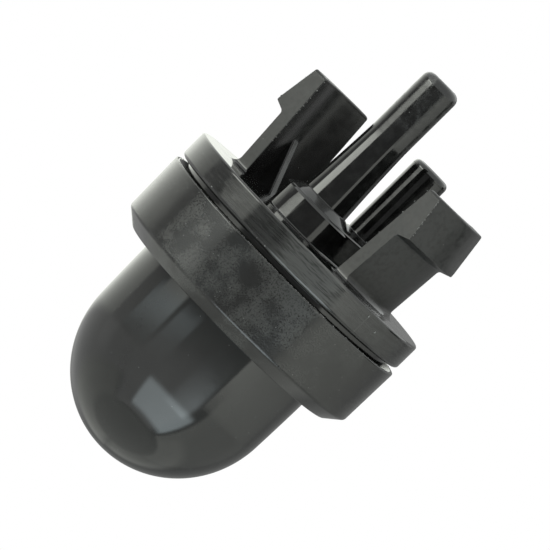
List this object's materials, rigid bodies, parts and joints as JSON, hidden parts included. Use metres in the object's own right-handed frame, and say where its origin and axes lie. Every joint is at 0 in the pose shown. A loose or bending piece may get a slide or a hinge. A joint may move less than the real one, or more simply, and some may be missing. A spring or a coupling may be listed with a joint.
{
  "type": "primer bulb",
  "caption": "Snap-in fuel primer bulb: a hollow rubber dome clamped by a collar ring on a plastic base with snap clips, a boss and long and short hose stems.",
  "frame": {"origin": "centre of the disc's flat face that seats against the panel, on the dome's axis", "axes": "+Z out through the dome, -Z into the panel hole along the clips and hose stems, X through the two clips, Y through the two stems with the long stem on +Y"},
  "size_m": [0.0254, 0.0254, 0.0416],
  "materials": {
    "dome_rubber": "satin moulded black rubber",
    "collar_plastic": "semi-gloss moulded black plastic",
    "base_plastic": "semi-gloss moulded black plastic",
    "valve_rubber": "matt black rubber"
  },
  "bodies": {
    "root": {"bulb": "dome_rubber", "retaining_collar": "collar_plastic", "base": "base_plastic", "check_valve": "valve_rubber"}
  },
  "joints": []
}
